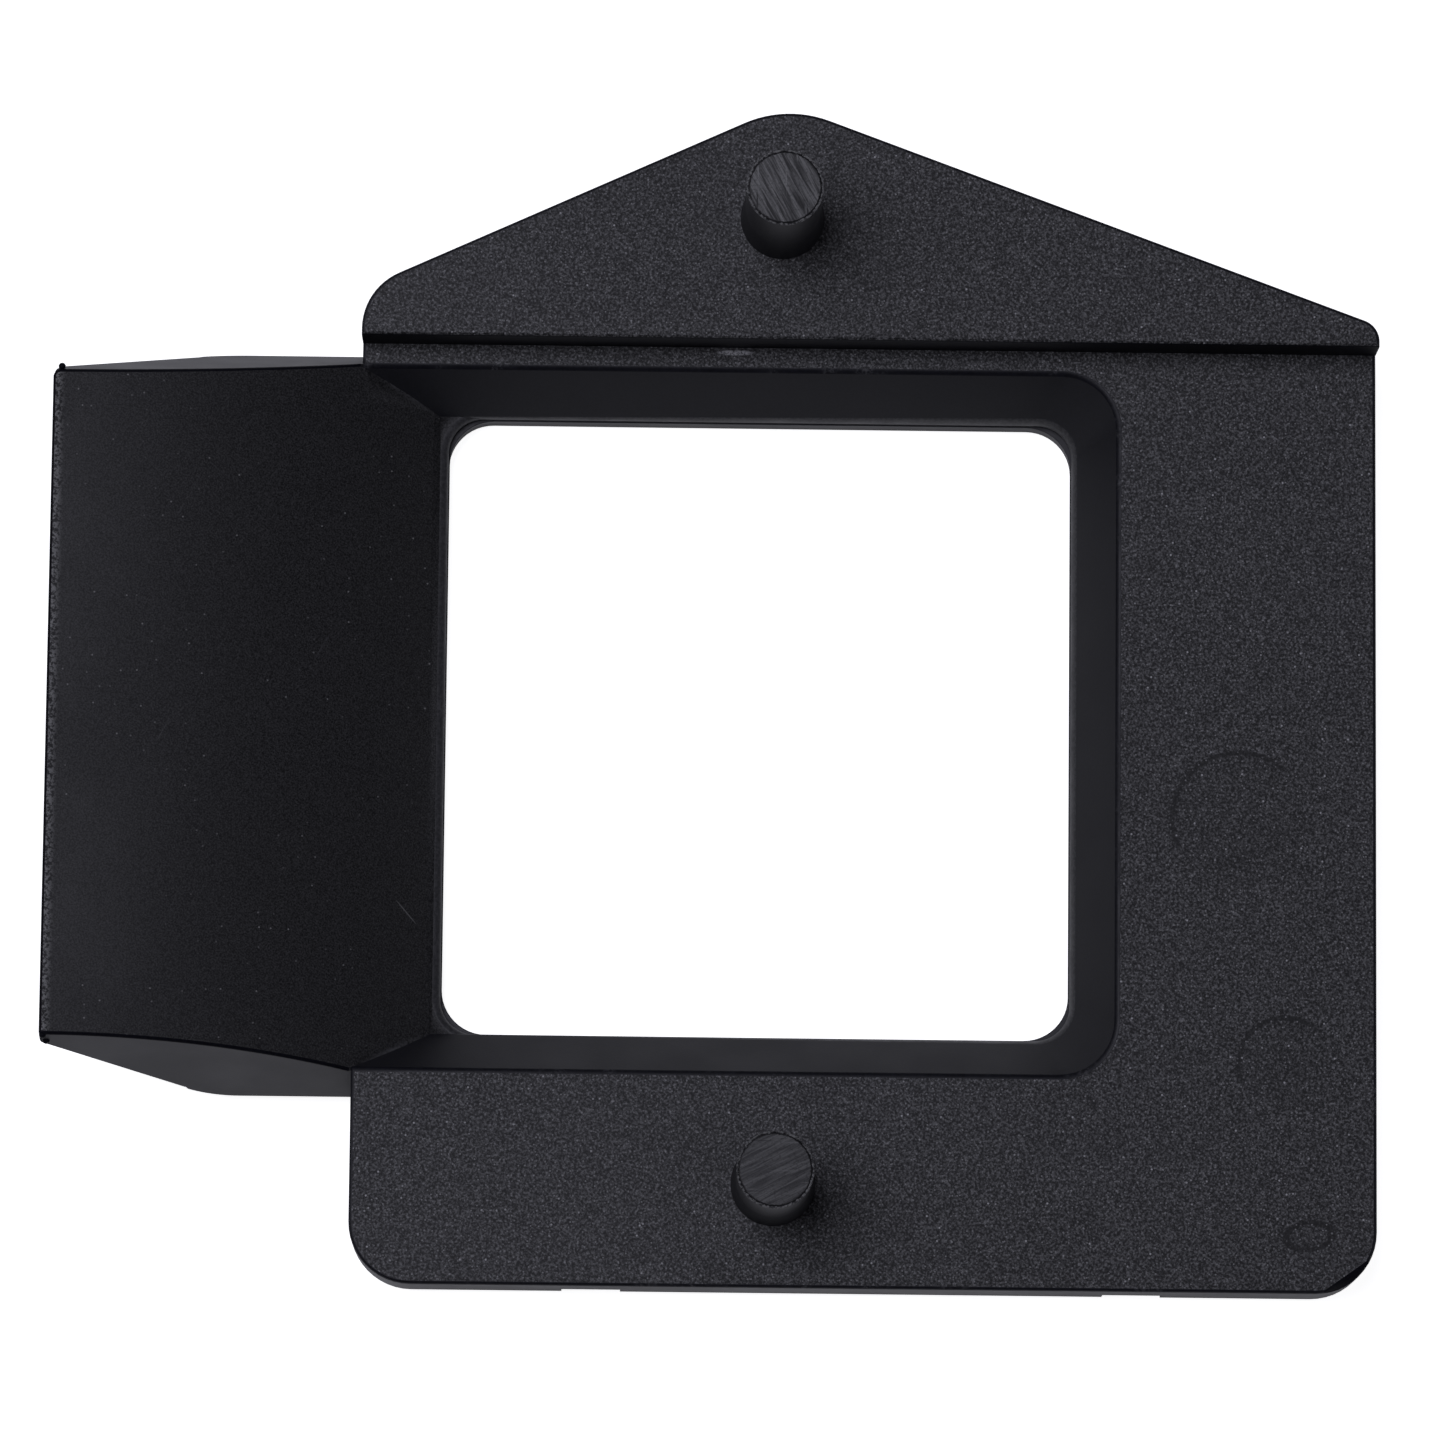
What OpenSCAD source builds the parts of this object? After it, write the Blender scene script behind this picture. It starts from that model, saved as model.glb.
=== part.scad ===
// Hinged glassless negative carrier for 6 x 6 cm roll film.
//
// The carrier lies on its cover half with the outer face of the gate half upwards.
// Origin: the optical axis of the film gate, at the face that the carrier rests on.
// +X runs along the film away from the film ramp, +Y points at the handle block,
// and +Z points up out of the gate half, along its dowels.

/* [Film gate] */
// Width of the film opening, along the film
gate_w = 56; // [50:0.5:62]
// Height of the film opening, across the film
gate_h = 55.7; // [50:0.1:60]
// Corner radius of the opening in the gate plate
gate_r = 3.2; // [2:0.1:6]
// Corner radius of the opening in the mask and the cover
mask_r = 4; // [2:0.1:6]
// Height of the upright land round the opening
land_h = 1.1; // [0.6:0.1:2]
// How far the sloped walls spread out above and below the opening
slope_y = 3.7; // [2:0.1:6]
// How far the sloped wall spreads out on the side away from the ramp
slope_x = 3.9; // [2:0.1:6]
// Corner radius of the recess where it meets the outer face
recess_r = 5.4; // [4:0.1:9]

/* [Gate plate] */
// From the gate axis to the edge on the ramp side
plate_left = 35.8; // [34:0.1:42]
// From the gate axis to the far edge
plate_right = 55.1; // [50:0.1:68]
// From the gate axis to the hinge edge
plate_rear = 50.7; // [48:0.1:62]
// Thickness of the gate plate
plate_t = 5.8; // [5:0.1:8]
// Radius of the two corners at the hinge edge
plate_r = 5.5; // [2:0.1:8]

/* [Handle block] */
// From the gate axis to the stop face of the block
stop_y = 33.7; // [32.5:0.1:36]
// Thickness of the block
block_t = 4.3; // [3:0.1:7]
// From the gate axis to the shoulder on the ramp side
shoulder_left_y = 37.9; // [37:0.1:42]
// From the gate axis to the far shoulder
shoulder_right_y = 35.6; // [35:0.1:40]
// Slope of the edge on the ramp side, in degrees
slope_left = 24.6; // [18:0.1:28]
// Slope of the far edge, in degrees
slope_right = 20.2; // [15:0.1:24]
// Rounding at the peak of the block
peak_r = 10; // [4:0.5:14]
// Rounding of the shoulder on the ramp side
shoulder_left_r = 5.6; // [1:0.1:6]
// Rounding of the far shoulder
shoulder_right_r = 2; // [1:0.1:3]

/* [Film ramp] */
// How far the ramp reaches from the gate axis
ramp_reach = 63; // [55:0.5:80]
// Half the width of the ramp at the film plane
ramp_half = 33.6; // [32.5:0.1:36]
// How much each end of the ramp leans in per millimetre of height
ramp_lean = 0.31; // [0.1:0.01:0.32]
// Height of the ramp's tip above the film plane
ramp_rise = 12.7; // [9:0.1:16]
// Radius of the rounded outer surface of the ramp
ramp_r = 56; // [50:1:80]
// Thickness of the ramp at its tip
ramp_tip = 1.9; // [1.2:0.1:3]
// From the gate axis to where the film bends away
bend_x = 48.6; // [44:0.1:54]
// Radius of the film bend
bend_r = 8; // [4:0.5:14]
// Rounding of the ramp where it meets the opening
lip_r = 0.8; // [0.4:0.1:1]

/* [Dowels] */
// From the gate axis to the line of the two dowels, along the film
dowel_x = 1.65; // [-4:0.05:6]
// From the gate axis to the dowel on the handle block
dowel_front = 44.7; // [42:0.1:46]
// From the gate axis to the dowel at the hinge edge
dowel_rear = 41.5; // [38:0.1:43]
// Length of a dowel above the face that it stands on
dowel_h = 13; // [8:0.5:18]
// Diameter of the straight locating part
dowel_d = 6.7; // [6:0.1:8]
// Diameter at the root of the dowel
root_d = 7.5; // [6.9:0.1:9]
// Height of the tapered root
root_h = 4.5; // [2:0.1:6]
// Diameter of the spigot that sits in the mouldings
spigot_d = 5; // [4.4:0.1:6]
// Thickness of the gate plate left under the spigots
spigot_floor = 2.3; // [2.1:0.1:3]

/* [Cover half] */
// Thickness of the cover plate at its rails
cover_t = 3.2; // [2.8:0.1:4]
// How far the cover's outline stays inside the gate plate's
cover_inset = 1.2; // [1:0.1:3]
// From the gate axis to the cover's edge at the finger notch
cover_front = 40.6; // [39:0.1:41]
// Depth of the film channel below the rails
channel_d = 0.2; // [0.15:0.05:0.3]
// Width of the film channel
channel_w = 62.4; // [62:0.1:63]
// Width of the film itself
film_w = 61.5; // [61:0.1:61.7]
// Thickness of the metal mask
mask_t = 0.6; // [0.5:0.1:1]
// Length of the mask along the film
mask_l = 67; // [66:0.5:68]
// Height of the mask across the film
mask_h = 69; // [68:0.5:72]
// Diameter of a film guide pin
guide_d = 2; // [1.5:0.1:2.4]
// Height of a film guide pin above the mask
guide_h = 1.4; // [1:0.1:2]
// Height of the chamfer at a guide pin's tip
guide_tip = 0.3; // [0.1:0.1:0.5]
// From the gate axis to the guide pins, along the film
guide_x = 20; // [15:0.5:24]
// From the gate axis to the mask screws, along the film
mask_screw_x = 30.3; // [28:0.1:31]

/* [Hinge] */
// Radius of the hinge knuckles
knuckle_r = 2.2; // [1.8:0.1:2.2]
// Diameter of the hinge pins
pin_d = 1.6; // [1.2:0.1:2]
// Length of one hinge
hinge_l = 12; // [9:0.5:20]
// Length of the cover's knuckle in the middle of a hinge
knuckle_l = 4.6; // [3:0.1:5]
// From the middle of the plate's edge to each hinge
hinge_x = 24; // [14:0.5:28]

/* [Screws] */
// Diameter of the dowel screws
dowel_screw_d = 3; // [2.5:0.1:3.2]
// How far a dowel screw reaches into its dowel
dowel_thread = 5; // [3:0.5:6]
// Diameter of the block screws
block_screw_d = 2.5; // [2:0.1:3]
// From the dowel line to each block screw, along the film
block_screw_x = 20; // [16:0.5:24]
// From the stop face to the block screws
block_screw_y = 4.8; // [4:0.1:5.5]
// Diameter of the mask screws
mask_screw_d = 1.6; // [1.4:0.1:1.8]

/* [Hidden] */

$fn = 64;
gap = 0.3;           // clearance between the two halves where they swing past each other
seat = 0.1;          // clearance round a piece that is laid into a pocket
slip = 0.05;         // radial clearance of a fit that is put together by hand
over = 1;            // how far a cutting shape runs past the face that it cuts
blind = 1;           // material left beyond the end of a blind hole
cover_r = 1;         // radius of the cover's corners at the hinge
corner_steps = 12;   // flats in a rounded corner
ramp_steps = 48;     // flats along the ramp's outer surface

film_z = cover_t;                        // underside of the gate plate
face_z = film_z + plate_t;               // outer face of the gate plate
block_z = face_z + block_t;              // outer face of the handle block
land_z = film_z + land_h;                // top of the land round the opening
channel_z = cover_t - channel_d;         // floor of the film channel, and top of the mask
pocket_z = channel_z - mask_t;           // floor of the mask's pocket
hinge_setback = 2.5;                     // from the hinge edge to the hinge axis
axis_y = -plate_rear + hinge_setback;
axis_z = knuckle_r + 0.4;
cover_rear = axis_y + knuckle_r + gap;   // the cover's edge at the hinge
mid_x = (plate_right - plate_left) / 2;  // middle of the hinge edge
guide_y = (film_w + guide_d) / 2 + 0.2;
seat_z = film_z + spigot_floor;          // bottom of the dowels' spigots
guides = [for (x = [-guide_x, guide_x], y = [-guide_y, guide_y]) [x, y]];
mask_screw_spots = [for (x = [-mask_screw_x, mask_screw_x], y = [-guide_y, guide_y]) [x, y]];
block_screw_spots = [for (s = [-1, 1]) [dowel_x + s * block_screw_x, stop_y + block_screw_y]];
dowel_spots = [[dowel_x, dowel_front], [dowel_x, -dowel_rear]];
hinge_spots = [mid_x - hinge_x, mid_x + hinge_x];
black = [0.14, 0.14, 0.15];
dark_metal = [0.2, 0.2, 0.21];

// ---- Outlines ----

// Points that round the corner b, on the way from a to c, with radius r
function corner_arc(a, b, c, r) =
    let (u = (a - b) / norm(a - b),
         v = (c - b) / norm(c - b),
         half = acos(u * v) / 2,
         centre = b + (u + v) / norm(u + v) * r / sin(half),
         p = b + u * r / tan(half) - centre,
         q = b + v * r / tan(half) - centre,
         start = atan2(p[1], p[0]),
         turn = (atan2(q[1], q[0]) - start + 540) % 360 - 180)
    [for (i = [0:corner_steps]) centre + r * [cos(start + turn * i / corner_steps),
                                              sin(start + turn * i / corner_steps)]];

// A closed outline with each of its corners rounded; a radius of 0 keeps the corner
function rounded(points, radii) =
    let (n = len(points))
    [for (i = [0:n - 1])
        each (radii[i] > 0 ? corner_arc(points[(i + n - 1) % n], points[i], points[(i + 1) % n], radii[i])
                           : [points[i]])];

// The rectangle from low to high, with the same radius at each corner
function rounded_box(low, high, r) =
    rounded([low, [high[0], low[1]], high, [low[0], high[1]]], [r, r, r, r]);

// Where a shoulder lies when the outline is moved in by d
function shoulder_y(y, slope, d) = y + d * tan(slope) - d / cos(slope);

// The five-sided outline that both halves share, moved in by d and ending at rear
function house(rear, d = 0) =
    let (left_y = shoulder_y(shoulder_left_y, slope_left, d),
         right_y = shoulder_y(shoulder_right_y, slope_right, d),
         left = -plate_left + d,
         right = plate_right - d,
         peak_x = (right_y - left_y + right * tan(slope_right) + left * tan(slope_left))
                  / (tan(slope_left) + tan(slope_right)),
         peak_y = left_y + (peak_x - left) * tan(slope_left))
    [[left, rear], [right, rear], [right, right_y], [peak_x, peak_y], [left, left_y]];

plate_radii = [plate_r, plate_r, shoulder_right_r, peak_r, shoulder_left_r];
block_radii = [0, 0, shoulder_right_r, peak_r, shoulder_left_r];
cover_radii = [cover_r, cover_r, shoulder_right_r, peak_r, shoulder_left_r];

// Height of the ramp's rounded outer surface at x
function ramp_top(x) = film_z + ramp_rise - ramp_r + sqrt(ramp_r * ramp_r - pow(x + ramp_reach, 2));

// Side view of the ramp: the rounded outer surface, the lip at the opening, the flat film
// side, and the straight stretch that leads the film away
function ramp_profile() =
    let (end_x = -gate_w / 2 - lip_r,
         bend = [-bend_x, film_z],
         under_tip = [-ramp_reach, film_z + ramp_rise - ramp_tip])
    concat(
        [for (i = [0:ramp_steps]) let (x = -ramp_reach + (end_x + ramp_reach) * i / ramp_steps)
            [x, ramp_top(x)]],
        [for (t = [75:-15:0]) [end_x + lip_r * cos(t), ramp_top(end_x) - lip_r * (1 - sin(t))]],
        [[-gate_w / 2, film_z]],
        corner_arc([0, film_z], bend, under_tip, bend_r),
        [under_tip]);

// ---- Shapes that the pieces share ----

// A prism on a list of outline points, from z = low to z = high
module prism(points, low, high) {
    translate([0, 0, low]) linear_extrude(high - low) polygon(points);
}

// The straight sides of the film opening, with a margin and its own corner radius
module opening(low, high, r, margin = 0) {
    x = gate_w / 2 + margin;
    y = gate_h / 2 + margin;
    prism(rounded_box([-x, -y], [x, y], r), low, high);
}

// The recess above the land: it widens upwards, and runs out over the ramp
module recess() {
    far = plate_left + over;
    x = gate_w / 2 + seat;
    y = gate_h / 2 + seat;
    grow = (plate_t - land_h + over) / (plate_t - land_h);
    hull() {
        prism(rounded([[-far, -y], [x, -y], [x, y], [-far, y]], [0, gate_r, gate_r, 0]),
              land_z, land_z + 0.01);
        prism(rounded([[-far, -y - slope_y * grow], [x + slope_x * grow, -y - slope_y * grow],
                       [x + slope_x * grow, y + slope_y * grow], [-far, y + slope_y * grow]],
                      [0, recess_r, recess_r, 0]),
              face_z + over - 0.01, face_z + over);
    }
}

// The ramp: its side view run across the film, with both ends leaning in
module ramp() {
    top = ramp_rise + over;
    intersection() {
        translate([0, ramp_half, 0]) rotate([90, 0, 0]) linear_extrude(2 * ramp_half) polygon(ramp_profile());
        translate([-ramp_reach - over, 0, film_z]) rotate([90, 0, 90]) linear_extrude(ramp_reach)
            polygon([[-ramp_half, 0], [ramp_half, 0], [ramp_half - ramp_lean * top, top],
                     [-ramp_half + ramp_lean * top, top]]);
    }
}

// A rod along X, centred on x, on the hinge axis
module on_axis(x, length, r) {
    translate([x - length / 2, axis_y, axis_z]) rotate([0, 90, 0]) cylinder(h = length, r = r);
}

// A countersunk screw that points up, with its head's face at z = 0 and a slot in it
module countersunk(d, length) {
    difference() {
        union() {
            cylinder(h = length, d = d);
            cylinder(h = d / 2, d1 = 2 * d, d2 = d);
        }
        translate([-d - over, -d / 10, -over]) cube([2 * d + 2 * over, d / 5, d / 5 + over]);
    }
}

// The countersink for that screw's head
module countersink(d) {
    translate([0, 0, -over]) cylinder(h = over + seat, d = 2 * d + 2 * seat);
    translate([0, 0, seat]) cylinder(h = d / 2, d1 = 2 * d + 2 * seat, d2 = d + 2 * seat);
}

// The hole for that screw: a clearance hole with the countersink
module countersunk_hole(d, length) {
    translate([0, 0, -over]) cylinder(h = length + over, d = d + 2 * seat);
    countersink(d);
}

// A dowel that stands on z = foot, with its spigot going down to seat_z
module dowel(spot, foot) {
    tap = dowel_screw_d / 2;
    translate([spot[0], spot[1], 0]) rotate_extrude() polygon([
        [tap, seat_z], [spigot_d / 2, seat_z], [spigot_d / 2, foot], [root_d / 2, foot],
        [dowel_d / 2, foot + root_h], [dowel_d / 2, foot + dowel_h], [0, foot + dowel_h],
        [0, foot + root_h], [tap, foot + root_h]]);
}

// ---- Gate half ----

module gate_plate() {
    color(black) difference() {
        union() {
            difference() {
                prism(rounded(house(-plate_rear), plate_radii), film_z, face_z);
                recess();
            }
            ramp();
            for (x = hinge_spots) gate_knuckles(x);
        }
        opening(film_z - over, face_z + over, gate_r, seat);
        for (x = hinge_spots) {
            knuckle_slot(x);
            on_axis(x, hinge_l + 2 * over, pin_d / 2);
        }
        for (p = dowel_spots) translate([p[0], p[1], 0]) {
            translate([0, 0, seat_z]) cylinder(h = plate_t, d = spigot_d + 2 * slip);
            translate([0, 0, film_z]) countersunk_hole(dowel_screw_d, plate_t);
        }
        for (p = block_screw_spots) translate([p[0], p[1], film_z]) countersunk_hole(block_screw_d, plate_t + over);
        for (p = guides) translate([p[0], p[1], film_z - over])
            cylinder(h = over + guide_h + gap + seat, d = guide_d + 4 * seat + 2 * gap);
    }
}

// The two knuckles of one hinge that hang from the gate plate
module gate_knuckles(x) {
    on_axis(x, hinge_l, knuckle_r);
    translate([x - hinge_l / 2, axis_y - knuckle_r, axis_z]) cube([hinge_l, 2 * knuckle_r, film_z - axis_z + over]);
}

// The slot in the gate plate that the cover's knuckle turns in
module knuckle_slot(x) {
    length = knuckle_l + 2 * gap;
    translate([x - length / 2, -plate_rear - over, -over])
        cube([length, over + hinge_setback + knuckle_r + gap, axis_z + knuckle_r + gap + over]);
}

module handle_block() {
    color(black) difference() {
        prism(rounded(house(stop_y), block_radii), face_z, block_z);
        translate([dowel_x, dowel_front, face_z - over]) cylinder(h = block_t + 2 * over, d = spigot_d + 2 * slip);
        for (p = block_screw_spots) translate([p[0], p[1], face_z - over])
            cylinder(h = over + block_t - blind, d = block_screw_d);
    }
}

module handle_dowel() { color(black) dowel(dowel_spots[0], block_z); }

module rear_dowel() { color(black) dowel(dowel_spots[1], face_z); }

module dowel_screws() {
    for (i = [0, 1]) color("silver") translate([dowel_spots[i][0], dowel_spots[i][1], film_z + seat])
        countersunk(dowel_screw_d, spigot_floor + (i == 0 ? block_t : 0) + dowel_thread);
}

module block_screws() {
    for (p = block_screw_spots) color("silver") translate([p[0], p[1], film_z + seat])
        countersunk(block_screw_d, plate_t + block_t - blind - gap - seat);
}

module hinge_pin(x) {
    color("silver") on_axis(x, hinge_l, pin_d / 2);
}

module left_hinge_pin() { hinge_pin(hinge_spots[0]); }

module right_hinge_pin() { hinge_pin(hinge_spots[1]); }

// ---- Cover half ----

module cover_plate() {
    mask_x = mask_l / 2 + seat;
    mask_y = mask_h / 2 + seat;
    color(black) difference() {
        union() {
            intersection() {
                prism(rounded(house(cover_rear, cover_inset), cover_radii), 0, cover_t);
                translate([-plate_left, -plate_rear, -over])
                    cube([plate_left + plate_right, plate_rear + cover_front, cover_t + 2 * over]);
            }
            for (x = hinge_spots) cover_knuckle(x);
        }
        translate([-plate_left - over, -channel_w / 2, channel_z])
            cube([plate_left + plate_right + 2 * over, channel_w, over]);
        translate([-mask_x, -mask_y, pocket_z]) cube([2 * mask_x, 2 * mask_y, over + mask_t]);
        opening(-over, cover_t + over, mask_r, seat);
        for (p = guides) translate([p[0], p[1], blind]) cylinder(h = cover_t, d = guide_d);
        for (p = mask_screw_spots) {
            translate([p[0], p[1], blind]) cylinder(h = cover_t, d = mask_screw_d);
            translate([p[0], p[1], channel_z]) mirror([0, 0, 1]) countersink(mask_screw_d);
        }
        for (x = hinge_spots) on_axis(x, knuckle_l + 2 * over, pin_d / 2 + slip);
    }
}

// The knuckle in the middle of one hinge, with its arm to the cover
module cover_knuckle(x) {
    on_axis(x, knuckle_l, knuckle_r);
    translate([x - knuckle_l / 2, axis_y, axis_z - knuckle_r])
        cube([knuckle_l, cover_rear - axis_y + over, knuckle_r + channel_z - axis_z]);
}

module format_mask() {
    color(dark_metal) difference() {
        translate([-mask_l / 2, -mask_h / 2, pocket_z]) cube([mask_l, mask_h, mask_t]);
        opening(pocket_z - over, channel_z + over, mask_r);
        for (p = guides) translate([p[0], p[1], 0]) cylinder(h = cover_t + over, d = guide_d + 2 * slip);
        for (p = mask_screw_spots) translate([p[0], p[1], channel_z]) mirror([0, 0, 1])
            countersunk_hole(mask_screw_d, cover_t);
    }
}

module film_guide_pins() {
    straight = channel_z - blind + guide_h - guide_tip;
    for (p = guides) color("silver") translate([p[0], p[1], blind]) {
        cylinder(h = straight, d = guide_d);
        translate([0, 0, straight]) cylinder(h = guide_tip, d1 = guide_d, d2 = guide_d - 2 * guide_tip);
    }
}

module mask_screws() {
    for (p = mask_screw_spots) color("silver") translate([p[0], p[1], channel_z - seat]) mirror([0, 0, 1])
        countersunk(mask_screw_d, channel_z - blind - 2 * seat);
}

gate_plate();
handle_block();
handle_dowel();
rear_dowel();
dowel_screws();
block_screws();
left_hinge_pin();
right_hinge_pin();
cover_plate();
format_mask();
film_guide_pins();
mask_screws();
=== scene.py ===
import math

import bmesh
import bpy
from bpy.props import FloatProperty, FloatVectorProperty, IntProperty, PointerProperty
from mathutils import Euler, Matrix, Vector


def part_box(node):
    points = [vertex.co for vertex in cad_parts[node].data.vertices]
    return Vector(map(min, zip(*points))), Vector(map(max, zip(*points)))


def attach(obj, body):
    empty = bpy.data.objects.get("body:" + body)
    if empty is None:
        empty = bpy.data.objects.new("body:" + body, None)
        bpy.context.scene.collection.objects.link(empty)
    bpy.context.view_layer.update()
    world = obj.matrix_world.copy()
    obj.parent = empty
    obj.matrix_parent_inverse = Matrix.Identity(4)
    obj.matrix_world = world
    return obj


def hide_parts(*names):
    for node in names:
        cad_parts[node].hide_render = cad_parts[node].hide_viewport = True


bl_info = {
    "name": "Negative Carrier",
    "version": (1, 0, 0),
    "blender": (4, 5, 0),
    "location": "View3D > Sidebar > Carrier",
    "description": "Builds the looks of a hinged negative carrier for roll film",
    "category": "Object",
}

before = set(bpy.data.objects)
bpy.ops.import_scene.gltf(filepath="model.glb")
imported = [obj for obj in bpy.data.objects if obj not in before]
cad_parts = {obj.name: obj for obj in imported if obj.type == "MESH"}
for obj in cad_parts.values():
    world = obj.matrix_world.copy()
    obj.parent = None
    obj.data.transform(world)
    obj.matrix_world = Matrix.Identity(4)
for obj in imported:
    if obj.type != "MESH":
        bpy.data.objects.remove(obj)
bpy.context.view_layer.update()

COVER_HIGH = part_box("cover_plate")[1]
BLOCK_LOW, BLOCK_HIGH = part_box("handle_block")
PLATE_LOW, PLATE_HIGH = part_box("gate_plate")
MASK_LOW, MASK_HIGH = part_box("format_mask")

# Levels and lines of the carrier, in metres from the gate axis and the resting face
PLATE_THICKNESS = 0.0058            # of the gate plate, from the film plane to its outer face
FACE_Z = BLOCK_LOW.z                # outer face of the gate plate
FILM_Z = FACE_Z - PLATE_THICKNESS   # the film plane, where the two halves meet
BLOCK_Z = BLOCK_HIGH.z              # outer face of the handle block
STOP_Y = BLOCK_LOW.y                # stop face of the handle block
RAMP_X = BLOCK_LOW.x                # the plate's edge on the ramp side
TIP_X = PLATE_LOW.x                 # the ramp's tip
CORNER_RADIUS = 0.0055              # of the plate's two rear corners
MASK_OPENING = 0.0279               # from the gate axis to the side of the opening
LAND_REACH = 0.03                   # no edge of the land lies further out than this
FILM_RIM_REACH = 0.0286             # and no edge of the opening on the film side further than this
RAMP_CUT = 0.0283                   # the ramp's faces are cut here, in line with the recess
RAMP_ROOT_GAP = 0.0004              # the ramp's edges are rounded from this far beyond the plate
FAR_SIDE = 0.02                     # the ramp's corner on the handle side lies further across than this
HINGE_MARGIN = 0.0095               # the cover's edges further past the mask are left to the hinges
OUTSIDE_Z = 0.001                   # the cover's flat faces lower than this are its outside

# How faces and edges are told apart
TOLERANCE = 2e-5                    # how closely a point has to lie on a plane to count as on it
CLEAR = 0.0001                      # an edge this far from a plane is clear of it
FLAT = 0.999                        # least share of Z in the normal of a face that lies flat
LARGE = 0.009                       # runs of edges shorter than this are screw holes and stay sharp
EDGE_ANGLE = math.radians(20)       # edges sharper than this can be rounded
SHARP_ANGLE = math.radians(35)      # edges sharper than this are shaded as corners

# Material slots: those that each moulding has, the gate plate's others, and the block's other
GRAINED, SMOOTH, WORN = range(3)
# SHADED is painted shade: a copy of the smooth plastic with almost no reflection, which renders black
RAMP, SHADED, LIT_LAND = range(3, 6)
# the block's stop face, in a copy of the smooth plastic with little reflection: painted shade
STOP_SHADE = 3

# Marks on the gate plate. A place is seen along Z, and a size is half the length and half the width.
OVAL_MARKS = (                      # place, size and turn of the spots where the grain is a little flat: fewer painted glints, and an outline of painted shade
    (0.0429, -0.0085, 0.006, 0.006, 0),
    (0.047, -0.0304, 0.0042, 0.0042, 0),
    (0.0491, -0.0456, 0.0021, 0.0012, math.radians(8)))
SMALL_MARK = 0.002                  # a mark narrower than this shows its whole outline of painted shade
OUTLINE = 0.0003                    # how wide a mark's outline of painted shade is
STEP_RUB = (-0.0024, STOP_Y - 0.00045, 0)  # a pale rub below the stop face
STEP_RUB_SIZE = (0.002, 0.0003)
SCRATCH = (-0.0312, -0.0173, 0)     # the one clear scratch on the ramp
SCRATCH_SIZE = (0.0016, 0.00007)
SCRATCH_TURN = math.radians(-48)
DRAW_TURN = math.radians(62)        # of the faint lines on the ramp
MITRE_X, MITRE_Y = -0.0323, 0.02995  # middle of the pale line where the ramp meets each side wall
MITRE_SIZE = (0.0046, 0.0006)
MITRE_TURN = math.radians(29.3)
TIP_BAND = (0.0005, 0.0013)         # the rougher band along the tip fades out between these
FLASH_NUBS = (                      # from the ramp's tip, across the film, and down from the highest point
    (0.00075, 0.03, 0.0004),
    (0.00034, -0.0297, 0.0004),
    (0.0006, -0.0301, 0.0014))
CORNER_FLAT_DIRECTION = (1, -1.4, 0)  # the way that the trimmed corner faces
GRAIN_TILT = (0.6, 0.45, 0.7)       # turn of the grain about X, Y and Z, out of line with every face

# Lights and floor
KEY_PLACE, KEY_WIDTH = (-0.33, 0.16, 1.0), 0.7
FILL_PLACE, FILL_WIDTH = (0.7, -0.3, 0.5), 0.6
FLOOR_RADIUS = 4.0
FLOOR_DROP = 0.0001                 # the floor lies this far below the resting face
SKY_GLOW = 0.95                     # how bright the surround itself looks


# ---- Sizes and colours ----

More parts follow.
